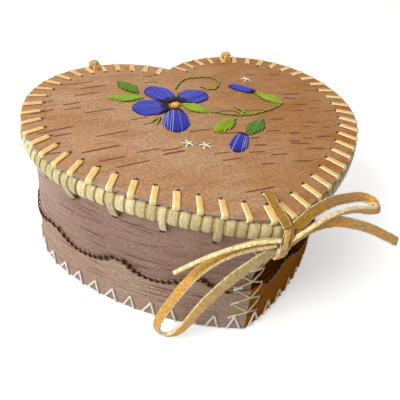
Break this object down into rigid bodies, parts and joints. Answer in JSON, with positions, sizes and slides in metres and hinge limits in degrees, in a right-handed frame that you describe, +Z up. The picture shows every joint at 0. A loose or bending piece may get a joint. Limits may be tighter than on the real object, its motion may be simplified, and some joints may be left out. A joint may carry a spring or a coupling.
{
  "type": "birch bark basket",
  "caption": "Heart-shaped bark basket with a thong-hinged lid, whipped rim, quill-worked flower and leather bow.",
  "frame": {"origin": "on the underside of the base panel, below the middle of the line that joins the two lobe centres", "axes": "+Z up through the lid, -Y to the tip of the heart where the bow is, +X across the heart"},
  "size_m": [0.183, 0.1714, 0.0914],
  "materials": {
    "wall_bark": "smooth inner bark, purple-brown, with fine lengthwise pores",
    "band_bark": "smooth inner bark, orange-brown",
    "lid_bark": "smooth inner bark, tan, with dark pores in rows",
    "lining_bark": "paler bark lining",
    "dark_root": "dark dyed split root",
    "sinew": "pale sinew thread",
    "hoop_wood": "peeled withe",
    "rim_root": "straw-green split root, satin",
    "edge_root": "golden split root, satin",
    "leather": "golden-tan suede thong with pale edges",
    "violet_quill": "flattened quill dyed blue-violet, satin",
    "green_quill": "flattened quill dyed yellow-green, satin",
    "white_quill": "undyed white quill",
    "yellow_quill": "quill dyed yellow"
  },
  "bodies": {
    "basket": {"base_panel": "wall_bark", "wall_left": "wall_bark", "wall_right": "wall_bark", "band_left": "band_bark", "band_right": "band_bark", "wave_stitches_left": "dark_root", "wave_stitches_right": "dark_root", "base_stitches_left": "sinew", "base_stitches_right": "sinew", "front_seam_lacing": "sinew", "back_seam_lacing": "sinew", "rim_hoop_left": "hoop_wood", "rim_hoop_right": "hoop_wood", "rim_whipping_left": "rim_root", "rim_whipping_right": "rim_root", "rim_long_stitches_left": "rim_root", "rim_long_stitches_right": "rim_root", "wall_thong": "leather", "bow_knot": "leather", "bow_loop_left": "leather", "bow_loop_right": "leather", "bow_end_left": "leather", "bow_end_right": "leather", "hinge_tie_left": "leather", "hinge_tie_right": "leather"},
    "lid": {"lid_panel": "lid_bark", "lid_lining": "lining_bark", "lid_stitches_left": "edge_root", "lid_stitches_right": "edge_root", "lid_thong": "leather", "hinge_knot_left": "leather", "hinge_knot_right": "leather", "petal_left": "violet_quill", "petal_upper_left": "violet_quill", "petal_upper_right": "violet_quill", "petal_lower": "violet_quill", "bud_upper": "violet_quill", "bud_lower": "violet_quill", "leaf_beside_flower": "green_quill", "leaves_left": "green_quill", "leaves_lower": "green_quill", "leaf_of_upper_bud": "green_quill", "stem": "green_quill", "tendril": "green_quill", "sprigs": "green_quill", "stars": "white_quill", "flower_centre": "yellow_quill"}
  },
  "joints": [
    {"name": "lid_hinge", "type": "hinge", "parent": "basket", "child": "lid", "pos_m": [0, 0.0546, 0.0829], "axis": [-1, 0, 0], "range_deg": [0, 110], "deforming": ["hinge_tie_left", "hinge_tie_right"]}
  ]
}
